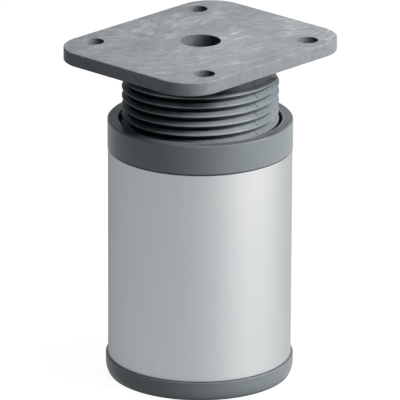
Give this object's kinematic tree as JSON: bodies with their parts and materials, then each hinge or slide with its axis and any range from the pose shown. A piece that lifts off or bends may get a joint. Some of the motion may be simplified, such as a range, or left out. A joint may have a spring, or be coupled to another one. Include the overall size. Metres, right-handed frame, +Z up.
{
  "type": "adjustable cabinet leg",
  "caption": "Round aluminium tube leg with a rectangular mounting plate, a threaded spigot that screws in and out of a collar to set the height, and a flat moulded foot.",
  "frame": {"origin": "centre of the foot's sole, on the leg's axis", "axes": "+Z up the leg's axis, +X along the mounting plate's long side"},
  "size_m": [0.0766, 0.0632, 0.1129],
  "materials": {
    "plate_moulding": "satin moulded grey",
    "collar_moulding": "satin moulded grey",
    "tube_aluminium": "satin anodised",
    "foot_moulding": "satin moulded grey"
  },
  "bodies": {
    "foot": {"foot_cap": "foot_moulding"},
    "leg": {"leg_tube": "tube_aluminium", "threaded_collar": "collar_moulding"},
    "plate": {"mounting_plate": "plate_moulding"}
  },
  "joints": [
    {"name": "leg_turn", "type": "hinge", "parent": "foot", "child": "leg", "pos_m": [0, 0, 0.0063], "axis": [0, 0, 1], "range_deg": [-900, 2430]},
    {"name": "plate_travel", "type": "slide", "parent": "foot", "child": "plate", "axis": [0, 0, 1], "range_m": [-0.02096, 0.00779]}
  ],
  "couplings": [
    {"joint": "plate_travel", "follows": "leg_turn", "m_per_rad": -0.00049338}
  ]
}
